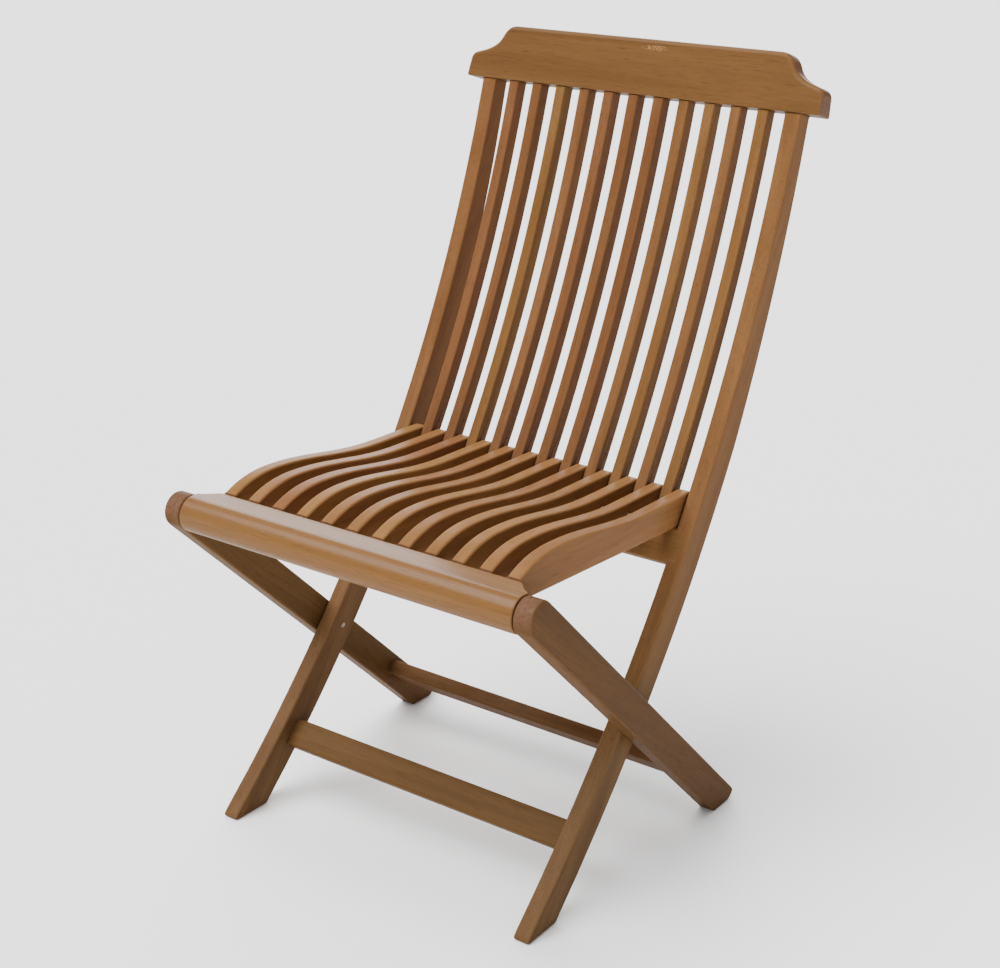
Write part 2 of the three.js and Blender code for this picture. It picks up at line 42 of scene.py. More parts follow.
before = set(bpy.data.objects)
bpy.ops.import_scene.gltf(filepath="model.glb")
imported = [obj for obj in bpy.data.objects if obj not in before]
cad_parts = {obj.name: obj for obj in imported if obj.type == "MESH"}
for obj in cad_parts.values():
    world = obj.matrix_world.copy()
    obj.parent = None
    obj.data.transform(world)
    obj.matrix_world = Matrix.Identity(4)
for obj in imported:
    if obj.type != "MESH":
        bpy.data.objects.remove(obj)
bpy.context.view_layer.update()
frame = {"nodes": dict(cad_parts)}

X, Y, Z = Vector((1, 0, 0)), Vector((0, 1, 0)), Vector((0, 0, 1))
SIDE_VIEW = (Vector(), Y, Z, X)  # outlines in Y and Z, thickness along X

SHARP = math.radians(24)  # a turn sharper than this is a corner
SQUARE_EDGE = 0.0003  # rounding left on an edge that is kept square
SQUARE_RUN = 0.0015  # length over which a rounded edge runs out beside it
SECTION_DEPTH = 0.002  # under a board's face, where its outline is taken past the eased edge
FOOT_CORNER = 0.006  # radius of the corners of stiles and legs
RAIL_CORNER = 0.0025  # and of the corners of the front rail's and top rail's outlines
CROSS_RAIL_EDGE = 0.0008
STILE_SQUARE = 0.010  # below the top rail, from where a stile's corners stay square
SLAT_NOSE_GAP = 0.001  # between the front rail and the part of a seat slat that is rounded
TOP_RAIL_SECTION = 0.0032  # under its front face
TOP_RAIL_SOFTENING = 0.45  # share of its height over which the edge grows to its full radius
OGEE_START = 0.0015  # from the outermost seat slat to the front rail's ogee
OGEE_LEAVE, OGEE_MEET = 0.2, 0.6  # where the ogee leaves one line and meets the other, as shares of its run
PIN_TIP = 0.8  # radius of a pin's chamfered tip, as a share of the pin's
PIN_CHAMFER = 0.0008
PIVOT_PIN_CHAMFER = 0.0006
PIVOT_PIN_SHANK = 2 / 3  # of the head's radius
DOME_RISE = 0.0012  # of the pivot pin's domed head
DOME_ANGLES = (80, 64, 48, 32, 16, 3)  # where its rings lie, in degrees from the pin's axis
SCUFF = (0.020, 0.010)  # the knock on the top rail: to the left of its middle, below its upper edge
COATS = {"front_rail_wood": 0.32, "seat_wood": 0.08, "top_rail_wood": 0.10}  # weight of the varnish
PLAIN_COAT = 0.04  # and on all other wood
# painted shade: the back's colour is darkened towards its feet, below the seat
FOOT_SHADE_TINT = (0.76, 0.90, 1.05, 1)  # what the back's colour is multiplied by at its feet
FOOT_SHADE_FROM, FOOT_SHADE_TO = 0.15, 0.55  # from this height, up to this share of the back's height
KEY_PLACE = (-0.75, -1.0, 2.3)
WINDOW_DIRECTION = (-0.52, 0.79, 0.33)
WINDOW_EDGE = (0.84, 0.98)  # cosines from that direction between which it fades in
HORIZON = (0.04, 0.10)  # sines of height between which the ring of light at the horizon ends
FLOOR_REACH = 60.0


# ---------------------------------------------------------------- settings


class ChairFinish(bpy.types.PropertyGroup):
    """Colours and gloss of the stained, satin-varnished wood"""

    back_colour: FloatVectorProperty(
        name="Back", description="Mid tone of stiles, back slats and lower rail",
        subtype="COLOR", size=3, min=0, max=1, default=(0.148, 0.071, 0.027))
    seat_colour: FloatVectorProperty(
        name="Seat", description="Mid tone of the seat slats",
        subtype="COLOR", size=3, min=0, max=1, default=(0.205, 0.100, 0.039))
    rail_colour: FloatVectorProperty(
        name="Front rail", description="Mid tone of the front rail",
        subtype="COLOR", size=3, min=0, max=1, default=(0.142, 0.065, 0.021))
    top_colour: FloatVectorProperty(
        name="Top rail", description="Mid tone of the top rail",
        subtype="COLOR", size=3, min=0, max=1, default=(0.120, 0.060, 0.022))
    leg_colour: FloatVectorProperty(
        name="Legs", description="Mid tone of the legs and the rear stretcher",
        subtype="COLOR", size=3, min=0, max=1, default=(0.090, 0.046, 0.019))
    end_colour: FloatVectorProperty(
        name="End grain", description="Colour that end grain tends to",
        subtype="COLOR", size=3, min=0, max=1, default=(0.118, 0.060, 0.036))
    steel_colour: FloatVectorProperty(
        name="Steel", description="Colour of pins, washers and rod",
        subtype="COLOR", size=3, min=0, max=1, default=(0.24, 0.19, 0.15))
    gloss: FloatProperty(
        name="Roughness", description="Mean roughness of the varnish",
        min=0, max=1, default=0.44)


class ChairEdges(bpy.types.PropertyGroup):
    """How far the wood's edges are rounded over"""

    slat: FloatProperty(name="Back slats", description="Edge radius of the back slats",
                        unit="LENGTH", default=0.0022)
    seat: FloatProperty(name="Seat slats", description="Edge radius of the seat slats",
                        unit="LENGTH", default=0.0030)
    frame: FloatProperty(name="Frame", description="Edge radius of stiles, legs and stretchers",
                         unit="LENGTH", default=0.0026)
    top_low: FloatProperty(name="Top rail, lower edge", description="Edge radius at its underside",
                           unit="LENGTH", default=0.0008)
    top_high: FloatProperty(name="Top rail, upper edge", description="Edge radius along its top",
                            unit="LENGTH", default=0.0060)
    rail: FloatProperty(name="Front rail, ends", description="Edge radius at its two ends",
                        unit="LENGTH", default=0.0016)


class ChairStudio(bpy.types.PropertyGroup):
    """Camera, lights and floor"""

    azimuth: FloatProperty(name="Azimuth", description="Camera's bearing, 0 from straight ahead",
                           subtype="ANGLE", default=math.radians(33.685))
    elevation: FloatProperty(name="Elevation", description="Camera's height above the horizon",
                             subtype="ANGLE", default=math.radians(19.221))
    roll: FloatProperty(name="Roll", description="Camera's turn about its own axis",
                        subtype="ANGLE", default=math.radians(2.3935))
    distance: FloatProperty(name="Distance", description="From the camera to the point it aims at",
                            unit="LENGTH", default=2.0171)
    target: FloatVectorProperty(name="Aim", description="Point the camera aims at",
                                subtype="XYZ", size=3, default=(0.0029, -0.0010, 0.4105))
    lens: FloatProperty(name="Focal length", description="In millimetres on a 36 mm sensor",
                        default=62.70)
    sky: FloatProperty(name="Sky", description="Even light from in front and the right of the sitter",
                       default=0.95)
    shade: FloatProperty(name="Shaded side", description="That light's strength on the other sides",
                         default=0.08)
    key: FloatProperty(name="Key light", description="Strength of the broad light from above and in front",
                       default=5.5)
    key_softness: FloatProperty(name="Key softness", description="How wide the key light is, as an angle",
                                subtype="ANGLE", default=math.radians(50))
    window: FloatProperty(name="Window", description="Strength of the bright patch of sky behind",
                          default=8.0)
    floor_colour: FloatVectorProperty(name="Floor", description="Colour of the studio floor",
                                      subtype="COLOR", size=3, default=(0.93, 0.93, 0.93))


# ------------------------------------------------------------------ shapes


def outline_of(node, origin, normal):
    """Outer outline of a CAD node where the plane through origin with that normal cuts it."""
    mesh = bmesh.new()
    mesh.from_mesh(frame["nodes"][node].data)
    bmesh.ops.remove_doubles(mesh, verts=mesh.verts, dist=1e-6)
    parts = [*mesh.verts, *mesh.edges, *mesh.faces]
    cut = bmesh.ops.bisect_plane(mesh, geom=parts, plane_co=origin, plane_no=normal)["geom_cut"]
    links = {}
    for edge in cut:
        if isinstance(edge, bmesh.types.BMEdge):
            a, b = edge.verts
            links.setdefault(a, []).append(b)
            links.setdefault(b, []).append(a)
    loops = []
    while links:
        start = next(iter(links))
        loop, here = [start], start
        while True:
            after = [v for v in links[here] if v in links and v not in loop]
            if not after:
                break
            here = after[0]
            loop.append(here)
        for v in loop:
            links.pop(v)
        loops.append([v.co.copy() for v in loop])
    mesh.free()
    longest = max(loops, key=lambda loop: sum((a - b).length for a, b in zip(loop, loop[1:])))
    if len(longest) < 4:
        raise RuntimeError(f"no outline found on {node}")
    return longest


def flat_outline(node, view, depth):
    """That outline in the plane's own two coordinates, counter-clockwise, without points on straight runs."""
    origin, across, up, out = view
    place = origin + out * depth
    points = [Vector(((p - place) @ across, (p - place) @ up)) for p in outline_of(node, place, out)]
    if area(points) < 0:
        points.reverse()
    return without_idle(points)


def without_idle(points, slack=2e-5):
    """The outline without the points that lie on a straight run between their neighbours."""
    kept = list(points)
    while True:
        for i, here in enumerate(kept):
            before, after = kept[i - 1], kept[(i + 1) % len(kept)]
            run = after - before
            offset = abs(run.x * (here - before).y - run.y * (here - before).x) / max(run.length, 1e-9)
            if offset < slack:
                del kept[i]
                break
        else:
            return kept


def area(points):
    """Area of the outline, positive where it runs counter-clockwise."""
    return sum(a.x * b.y - b.x * a.y for a, b in zip(points, points[1:] + points[:1])) / 2


def turns(points):
    """Angle through which the outline turns at each point, positive to the left."""
    result = []
    for i, here in enumerate(points):
        before = here - points[i - 1]
        after = points[(i + 1) % len(points)] - here
        result.append(math.atan2(before.x * after.y - before.y * after.x, before @ after))
    return result


def corners(points, chosen=None):
    """The outline's sharp corners, or only those for which chosen is true."""
    return [p for p, turn in zip(points, turns(points))
            if abs(turn) > SHARP and (chosen is None or chosen(p))]


def rounded(points, radius, square=()):
    """The outline with each sharp corner rounded over, except the square ones."""
    result = []
    steps = 4
    for i, (here, turn) in enumerate(zip(points, turns(points))):
        before, after = points[i - 1], points[(i + 1) % len(points)]
        if here in square:
            result += [here + (before - here).normalized() * SQUARE_RUN] * (before not in square)
            result.append(here)
            result += [here + (after - here).normalized() * SQUARE_RUN] * (after not in square)
        elif abs(turn) < SHARP:
            result.append(here)
        else:
            reach = radius * math.tan(abs(turn) / 2)
            start = here + (before - here).normalized() * min(reach, (before - here).length * 0.45)
            end = here + (after - here).normalized() * min(reach, (after - here).length * 0.45)
            for step in range(steps + 1):
                t = step / steps
                result.append(start * (1 - t) ** 2 + here * 2 * t * (1 - t) + end * t * t)
    return result


def smoothed(points, smooth=math.radians(20), rounds=2):
    """Adds a point on a curve between neighbours wherever the outline runs in a smooth, even bend."""
    for _ in range(rounds):
        bend = turns(points)
        count = len(points)
        result = []
        for i in range(count):
            j = (i + 1) % count
            result.append(points[i])
            before, after = points[i - 1], points[(j + 1) % count]
            span = (points[j] - points[i]).length
            even = all(0.4 < step / span < 2.5 for step in
                       ((points[i] - before).length, (after - points[j]).length))
            bent = all(0.002 < abs(turn) < smooth for turn in (bend[i], bend[j]))
            if even and bent and span > 0.0015:
                result.append((points[i] + points[j]) * 0.5625 - (before + after) * 0.0625)
        points = result
    return points


def inward(points):
    """For each point, the step that moves both its edges inwards by one unit."""
    result = []
    for i, here in enumerate(points):
        a = (here - points[i - 1]).normalized()
        b = (points[(i + 1) % len(points)] - here).normalized()
        normal = Vector((-a.y - b.y, a.x + b.x))
        normal.normalize()
        lean = max(0.5, normal @ Vector((-a.y, a.x)))
        result.append(normal / lean)
    return result


def finish_piece(name, mesh, body, nodes, axis, material, arris=None):
    """Turns a bmesh into a piece with wood coordinates along axis, riding on a body for its CAD nodes."""
    bmesh.ops.recalc_face_normals(mesh, faces=mesh.faces)
    data = bpy.data.meshes.new(name)
    mesh.to_mesh(data)
    mesh.free()
    data.shade_smooth()
    piece = bpy.data.objects.new(name, data)
    bpy.context.scene.collection.objects.link(piece)
    weighted = piece.modifiers.new("even_shading", "WEIGHTED_NORMAL")
    weighted.weight = 50
    data.materials.append(material)
    wood_coordinates(data, axis, name, arris)
    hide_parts(*nodes)
    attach(piece, body)
    return piece


def wood_coordinates(data, axis, name, arris):
    """Stores where each point lies in its own plank: along, across and through the grain, and its marks."""
    draw = random.Random(name)
    shift = Vector([draw.uniform(-9, 9) for _ in range(3)])
    tint = draw.uniform(-1, 1)
    tilt = draw.uniform(-0.03, 0.03)
    across = X.cross(axis) if abs(axis.x) < 0.5 else Y.copy()
    across.normalize()
    through = axis.cross(across).normalized()
    grain, marks = [], []
    for i, vertex in enumerate(data.vertices):
        along = vertex.co @ axis
        side = vertex.co @ across + tilt * along
        grain.extend(Vector((along, side, vertex.co @ through)) + shift)
        marks.extend((abs(vertex.normal @ axis), arris[i] if arris else 0.0, tint))
    for key, values in (("grain", grain), ("marks", marks)):
        data.attributes.new(key, "FLOAT_VECTOR", "POINT").data.foreach_set("vector", values)


def skin(mesh, loops):
    """Joins each loop of vertices to the next and closes the two ends."""
    count = len(loops[0])
    for a, b in zip(loops, loops[1:]):
        for i in range(count):
            j = (i + 1) % count
            mesh.faces.new((a[i], a[j], b[j], b[i]))
    mesh.faces.new(loops[0][::-1])
    mesh.faces.new(loops[-1])


def board(name, points, view, low, high, radius, *, body, slot, nodes, axis, material, rings=4):
    """A board with this outline, between two depths along the view's normal, its edges rounded over.

    radius is one length, or a function of an outline point."""
    origin, across, up, out = view
    steps = inward(points)
    radii = [radius(p) if callable(radius) else radius for p in points]
    mesh = bmesh.new()
    arris = []
    loops = []
    for side, face in ((1, low), (-1, high)):
        for ring in range(rings + 1):
            angle = math.pi / 2 * ring / rings
            loop = []
            for p, step, r in zip(points, steps, radii):
                q = p + step * r * (1 - math.sin(angle))
                depth = face + side * r * (1 - math.cos(angle))
                loop.append(mesh.verts.new(origin + across * q.x + up * q.y + out * depth))
                arris.append(math.sin(2 * angle))
            loops.append(loop)
    half = rings + 1
    skin(mesh, loops[:half] + loops[half:][::-1])
    return finish_piece(name, mesh, body, nodes, axis, material, arris)


def side_board(name, node, depth, radius, *, corner, axis, square=None, **rest):
    """Remakes a CAD board that is seen from the side, from its own outline at that depth.

    Its corners are rounded over too, except where square says that it meets another piece."""
    low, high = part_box(node)
    points = flat_outline(node, SIDE_VIEW, depth)
    kept = corners(points, square) if square else []
    points = smoothed(rounded(points, corner, kept))
    return board(name, points, SIDE_VIEW, low.x, high.x, lambda p: SQUARE_EDGE if p in kept else radius,
                 nodes=(node,), axis=axis, **rest)


def turned(name, node, profile, sign, *, body, material, sides=40):
    """A turned piece on the X axis of its CAD node: profile gives (distance along, radius) pairs."""
    low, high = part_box(node)
    middle = (low + high) / 2
    mesh = bmesh.new()
    loops = []
    for along, r in profile:
        x = (low.x + along) if sign > 0 else (high.x - along)
        loop = []
        for k in range(sides):
            a = 2 * math.pi * k / sides
            loop.append(mesh.verts.new((x, middle.y + r * math.cos(a), middle.z + r * math.sin(a))))
        loops.append(loop)
    skin(mesh, loops)
    return finish_piece(name, mesh, body, (node,), X, material)


def direction(node):
    """Direction of a board's length in the side view, from the corners of its box."""
    low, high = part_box(node)
    return Vector((0, high.y - low.y, high.z - low.z)).normalized()


# --------------------------------------------------------------- materials


def shader_node(tree, kind, inputs=(), **settings):
    """Adds a shader node, with its settings, constant inputs and links."""
    made = tree.nodes.new("ShaderNode" + kind)
    for key, value in settings.items():
        setattr(made, key, value)
    for key, value in dict(inputs).items():
        if isinstance(value, bpy.types.NodeSocket):
            tree.links.new(value, made.inputs[key])
        else:
            made.inputs[key].default_value = value
    return made


def stored(tree, name):
    """An attribute that wood_coordinates has stored on the piece."""
    return shader_node(tree, "Attribute", attribute_name=name, attribute_type="GEOMETRY").outputs["Vector"]


def scaled(tree, vector, along, across, through):
    """The vector, with each of its directions scaled."""
    return shader_node(tree, "Mapping", {"Vector": vector, "Scale": (along, across, through)}).outputs[0]


def noise(tree, vector, scale=1.0, detail=4.0, roughness=0.55, distortion=0.0):
    """Cloudy noise from 0 to 1 at the vector."""
    return shader_node(tree, "TexNoise", {
        "Vector": vector, "Scale": scale, "Detail": detail,
        "Roughness": roughness, "Distortion": distortion}).outputs["Fac"]


def spread(tree, value, low, high, to_low=0.0, to_high=1.0):
    """The value, carried over from one range to another and held within it."""
    return shader_node(tree, "MapRange", {
        "Value": value, "From Min": low, "From Max": high,
        "To Min": to_low, "To Max": to_high}).outputs[0]


def mixed(tree, factor, a, b, blend="MIX"):
    """Colour a with b mixed in by factor."""
    made = tree.nodes.new("ShaderNodeMix")
    made.data_type = "RGBA"
    made.blend_type = blend
    # sockets 0, 6 and 7 are the factor and the two colours
    for index, value in ((0, factor), (6, a), (7, b)):
        if isinstance(value, bpy.types.NodeSocket):
            tree.links.new(value, made.inputs[index])
        else:
            made.inputs[index].default_value = value
    return made.outputs[2]


def maths(tree, operation, a, b=0.0):
    """One arithmetic step on one or two values."""
    made = tree.nodes.new("ShaderNodeMath")
    made.operation = operation
    for index, value in ((0, a), (1, b)):
        if isinstance(value, bpy.types.NodeSocket):
            tree.links.new(value, made.inputs[index])
        else:
            made.inputs[index].default_value = value
    return made.outputs[0]


def shade(colour, factor, warm=0.0):
    """The colour times a factor, a little redder where warm is positive."""
    r, g, b = colour
    return (min(1, r * factor * (1 + warm)), g * factor, b * factor * (1 - warm), 1)


def wood_material(name, colour, coat, scuff=None, foot_shade=None):
    """Stained hardwood with fine pores along the grain, under a satin varnish.

    scuff is the place of a knock through the stain, foot_shade two heights between which the colour is
    darkened with painted shade, most at the lower one."""
    finish = bpy.context.scene.chair_finish
    material = bpy.data.materials.new(name)
    material.use_nodes = True
    tree = material.node_tree
    shader = tree.nodes["Principled BSDF"]
    grain = stored(tree, "grain")
    marks = shader_node(tree, "SeparateXYZ", {"Vector": stored(tree, "marks")}).outputs

    figure = noise(tree, scaled(tree, grain, 1.6, 34, 34), detail=5, distortion=0.6)
    fibre = noise(tree, scaled(tree, grain, 14, 520, 520), detail=3, roughness=0.6)
    pores = noise(tree, scaled(tree, grain, 42, 1150, 1150), detail=1, roughness=0.5)
    cloud = noise(tree, scaled(tree, grain, 3.2, 9, 9), detail=2)
    rings = noise(tree, scaled(tree, grain, 6, 260, 260), detail=4)

    dark, light = shade(colour, 0.76, 0.05), shade(colour, 1.22, -0.02)
    tone = mixed(tree, spread(tree, figure, 0.34, 0.66), dark, light)
    tone = mixed(tree, spread(tree, cloud, 0.3, 0.7, 0, 0.42), tone, shade(colour, 1.05, 0.10))
    tone = mixed(tree, spread(tree, fibre, 0.42, 0.68, 0, 0.28), tone, shade(colour, 0.62, 0.04))
    tone = mixed(tree, spread(tree, pores, 0.60, 0.72, 0, 0.42), tone, shade(colour, 0.34))
    red, green, blue = (spread(tree, marks[2], -1, 1, low, high)
                        for low, high in ((0.93, 1.06), (0.84, 1.10), (0.92, 0.96)))
    plank = shader_node(tree, "CombineColor", {0: red, 1: green, 2: blue}).outputs[0]
    tone = mixed(tree, 1.0, tone, plank, "MULTIPLY")
    end = (*finish.end_colour, 1)
    speckle = mixed(tree, spread(tree, rings, 0.35, 0.65), shade(end[:3], 0.78), shade(end[:3], 1.12))
    tone = mixed(tree, spread(tree, marks[0], 0.45, 0.95, 0, 0.85), tone, speckle)
    # the rounded edges are lightened: partly rubbed wear, partly a painted highlight along the arrises
    edge_wear_and_highlight = maths(tree, "MULTIPLY", marks[1], spread(tree, cloud, 0.35, 0.65, 0.1, 0.5))
    tone = mixed(tree, edge_wear_and_highlight, tone, shade(colour, 1.42, -0.02))
    if scuff:
        place = shader_node(tree, "TexCoord").outputs["Object"]
        offset = shader_node(tree, "VectorMath", {0: place, 1: scuff}, operation="SUBTRACT").outputs[0]
        stretched = scaled(tree, offset, 50, 0, 260)
        near = shader_node(tree, "VectorMath", {0: stretched}, operation="LENGTH").outputs["Value"]
        flecks = noise(tree, scaled(tree, place, 320, 320, 900), detail=3, roughness=0.7)
        inside = spread(tree, near, 0.3, 1.0, 1, 0)
        bare = maths(tree, "MULTIPLY", inside, spread(tree, flecks, 0.50, 0.58))
        tone = mixed(tree, bare, tone, shade(colour, 3.6, -0.1))
    # painted shade: darkens the back's colour towards its feet
    if foot_shade:
        place = shader_node(tree, "TexCoord").outputs["Object"]
        level = shader_node(tree, "SeparateXYZ", {"Vector": place}).outputs[2]
        tint = mixed(tree, spread(tree, level, *foot_shade), FOOT_SHADE_TINT, (1, 1, 1, 1))
        tone = mixed(tree, 1.0, tone, tint, "MULTIPLY")
    tree.links.new(tone, shader.inputs["Base Color"])

    rough = spread(tree, figure, 0.3, 0.7, finish.gloss - 0.05, finish.gloss + 0.06)
    rough = maths(tree, "ADD", rough, spread(tree, pores, 0.60, 0.72, 0, 0.15))
    rough = maths(tree, "ADD", rough, maths(tree, "MULTIPLY", marks[0], 0.14))
    tree.links.new(rough, shader.inputs["Roughness"])
    height = maths(tree, "ADD", maths(tree, "MULTIPLY", fibre, 0.6),
                   spread(tree, pores, 0.60, 0.74, 0.5, 0))
    bump = shader_node(tree, "Bump", {"Height": height, "Strength": 0.22, "Distance": 0.0004})
    tree.links.new(bump.outputs[0], shader.inputs["Normal"])
    shader.inputs["IOR"].default_value = 1.25
    shader.inputs["Specular IOR Level"].default_value = 0.03
    shader.inputs["Coat Weight"].default_value = coat
    shader.inputs["Coat Roughness"].default_value = 0.25
    return material


def steel_material(name):
    """Turned steel with fine lathe lines."""
    material = bpy.data.materials.new(name)
    material.use_nodes = True
    tree = material.node_tree
    shader = tree.nodes["Principled BSDF"]
    place = shader_node(tree, "TexCoord").outputs["Object"]
    lines = noise(tree, scaled(tree, place, 2600, 30, 30), detail=2)
    dull = noise(tree, scaled(tree, place, 120, 120, 120), detail=3)
    colour = bpy.context.scene.chair_finish.steel_colour
    tree.links.new(mixed(tree, dull, shade(colour, 0.82), shade(colour, 1.1)), shader.inputs["Base Color"])
    tree.links.new(spread(tree, lines, 0.3, 0.7, 0.28, 0.46), shader.inputs["Roughness"])
    bump = shader_node(tree, "Bump", {"Height": lines, "Strength": 0.15, "Distance": 0.0001})
    tree.links.new(bump.outputs[0], shader.inputs["Normal"])
    shader.inputs["Metallic"].default_value = 1.0
    return material


def material_for(slot):
    """The finish of one material slot of the record, made once."""
    finish = bpy.context.scene.chair_finish
    name = f"{slot}_finish"
    if name in bpy.data.materials:
        return bpy.data.materials[name]
    if slot == "steel":
        return steel_material(name)
    colour = {
        "back_wood": finish.back_colour, "seat_wood": finish.seat_colour,
        "front_rail_wood": finish.rail_colour, "top_rail_wood": finish.top_colour,
        "leg_wood": finish.leg_colour,
    }[slot]
    # a knock near the top rail's upper edge has gone through the stain
    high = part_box("top_rail")[1]
    scuff = (SCUFF[0], 0, high.z - SCUFF[1]) if slot == "top_rail_wood" else None
    # painted shade: below the seat the back's colour is darkened towards its feet
    foot_shade = (FOOT_SHADE_FROM, high.z * FOOT_SHADE_TO) if slot == "back_wood" else None
    return wood_material(name, tuple(colour), COATS.get(slot, PLAIN_COAT), scuff, foot_shade)


def numbered(prefix):
    """The CAD nodes of a numbered row, in order."""
    return sorted(n for n in frame["nodes"] if n.startswith(prefix))


# --------------------------------------------------------------- operators


class CHAIR_OT_stiles(bpy.types.Operator):
    """Makes the two curved side stiles"""

    bl_idname = "chair.stiles"
    bl_label = "Stiles"

    def execute(self, context):
        edges = context.scene.chair_edges
        under_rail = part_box("top_rail")[0].z - STILE_SQUARE
        for side, sign in (("left", 1), ("right", -1)):
            name = f"{side}_stile"
            low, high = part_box(name)
            outer = high.x if sign > 0 else low.x
            side_board(f"{name}_curved", name, outer - sign * SECTION_DEPTH, edges.frame,
                       corner=FOOT_CORNER, square=lambda p: p.y > under_rail,
                       axis=direction(name), body="back_frame", slot="back_wood",
                       material=material_for("back_wood"))
        return {"FINISHED"}


class CHAIR_OT_back_slats(bpy.types.Operator):
    """Makes the curved slats of the back"""

    bl_idname = "chair.back_slats"
    bl_label = "Back slats"

    def execute(self, context):
        radius = context.scene.chair_edges.slat
        for name in numbered("back_slat"):
            low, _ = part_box(name)
            side_board(f"{name}_curved", name, low.x + SECTION_DEPTH, radius, corner=radius,
                       square=lambda p: True, axis=direction(name), body="back_frame", slot="back_wood",
                       material=material_for("back_wood"))
        return {"FINISHED"}


class CHAIR_OT_seat_slats(bpy.types.Operator):
    """Makes the waved slats of the seat"""

    bl_idname = "chair.seat_slats"
    bl_label = "Seat slats"

    def execute(self, context):
        radius = context.scene.chair_edges.seat
        behind_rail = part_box("front_rail")[1].y + SLAT_NOSE_GAP
        for name in numbered("seat_slat"):
            low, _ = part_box(name)
            side_board(f"{name}_waved", name, low.x + SECTION_DEPTH, radius, corner=radius * 1.1,
                       square=lambda p: p.x < behind_rail, axis=Y, body="seat", slot="seat_wood",
                       material=material_for("seat_wood"))
        return {"FINISHED"}


class CHAIR_OT_legs(bpy.types.Operator):
    """Makes the two straight legs with their round knuckles"""

    bl_idname = "chair.legs"
    bl_label = "Legs"

    def execute(self, context):
        edges = context.scene.chair_edges
        for side, sign in (("left", 1), ("right", -1)):
            name = f"{side}_leg"
            low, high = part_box(name)
            outer = high.x if sign > 0 else low.x
            slope = Vector((0, high.y - low.y, low.z - high.z)).normalized()
            side_board(f"{name}_straight", name, outer - sign * SECTION_DEPTH, edges.frame,
                       corner=FOOT_CORNER, axis=slope, body="leg_frame", slot="leg_wood",
                       material=material_for("leg_wood"))
        return {"FINISHED"}


class CHAIR_OT_cross_rails(bpy.types.Operator):
    """Makes the two stretchers and the lower back rail"""

    bl_idname = "chair.cross_rails"
    bl_label = "Stretchers and lower rail"

    def execute(self, context):
        edges = context.scene.chair_edges
        # between two slats, clear of their mortises
        slat_low, slat_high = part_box("seat_slat_06")
        section = (slat_low.x + slat_high.x) / 2
        for name, body, slot, tone in (
            ("front_stretcher", "back_frame", "back_wood", "leg_wood"),
            ("rear_stretcher", "leg_frame", "leg_wood", "leg_wood"),
            ("lower_back_rail", "back_frame", "back_wood", "back_wood"),
        ):
            side_board(f"{name}_board", name, section, CROSS_RAIL_EDGE, corner=edges.frame,
                       axis=X, body=body, slot=slot, material=material_for(tone))
        return {"FINISHED"}


class CHAIR_OT_top_rail(bpy.types.Operator):
    """Makes the top rail, with its shoulders and soft upper edges"""

    bl_idname = "chair.top_rail"
    bl_label = "Top rail"

    def execute(self, context):
        edges = context.scene.chair_edges
        cad = frame["nodes"]["top_rail"].data
        front = max((f for f in cad.polygons if f.normal.y < -0.5 and abs(f.normal.x) < 0.1),
                    key=lambda f: f.area)
        out = front.normal.copy()
        out.x = 0
        out.normalize()
        up = out.cross(X).normalized()
        depths = [v.co @ out for v in cad.vertices]
        view = (Vector(), X, up, out)
        points = flat_outline("top_rail", view, max(depths) - TOP_RAIL_SECTION)
        foot = min(p.y for p in points)
        height = max(p.y for p in points) - foot

        def radius(p):
            t = max(0.0, min(1.0, (p.y - foot) / height / TOP_RAIL_SOFTENING))
            return edges.top_low + (edges.top_high - edges.top_low) * t * t * (3 - 2 * t)

        points = smoothed(rounded(points, RAIL_CORNER), smooth=math.radians(26))
        board("top_rail_shaped", points, view, min(depths), max(depths), radius, rings=6,
              body="back_frame", slot="top_rail_wood", nodes=("top_rail",), axis=X,
              material=material_for("top_rail_wood"))
        return {"FINISHED"}


class CHAIR_OT_front_rail(bpy.types.Operator):
    """Makes the front rail: round nose, flat top and ends swept forward in an ogee"""

    bl_idname = "chair.front_rail"
    bl_label = "Front rail"

    def execute(self, context):
        radius = context.scene.chair_edges.rail
        low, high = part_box("front_rail")
        pin_low, pin_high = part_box("left_rail_pin")
        axis_y = (pin_low.y + pin_high.y) / 2
        middle = flat_outline("front_rail", SIDE_VIEW, 0.0)
        profile = smoothed(rounded(middle, RAIL_CORNER), math.radians(24))
        rear = high.y - axis_y
        end = flat_outline("front_rail", SIDE_VIEW, high.x - SECTION_DEPTH)
        end_rear = max(p.x for p in end) - axis_y
        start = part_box("seat_slat_01")[1].x + OGEE_START
        run = high.x - start
        leave, meet = start + run * OGEE_LEAVE, start + run * OGEE_MEET
        stations = [(0.0, rear, 0.0), (start * 0.5, rear, 0.0)]
        sweep = 24
        for k in range(sweep):
            t = k / sweep
            u = 1 - t
            x = start * u ** 3 + 3 * leave * t * u ** 2 + 3 * meet * t * t * u + high.x * t ** 3
            y = rear * (u ** 3 + 3 * t * u ** 2) + end_rear * (3 * t * t * u + t ** 3)
            if x < high.x - radius:
                stations.append((x, y, 0.0))
        rings = 4
        for k in range(rings + 1):
            a = math.pi / 2 * k / rings
            stations.append((high.x - radius * (1 - math.sin(a)), end_rear, radius * (1 - math.cos(a))))
        both = [(-x, y, inset) for x, y, inset in reversed(stations[1:])] + stations
        mesh = bmesh.new()
        arris, loops = [], []
        for x, reach, inset in both:
            shaped = [Vector((p.x if p.x < axis_y else axis_y + (p.x - axis_y) * reach / rear, p.y))
                      for p in profile]
            shaped = [p + step * inset for p, step in zip(shaped, inward(shaped))]
            loops.append([mesh.verts.new((x, p.x, p.y)) for p in shaped])
            arris += [min(1.0, inset / radius * 2)] * len(profile)
        skin(mesh, loops)
        finish_piece("front_rail_shaped", mesh, "seat", ("front_rail",), X,
                     material_for("front_rail_wood"), arris)
        return {"FINISHED"}


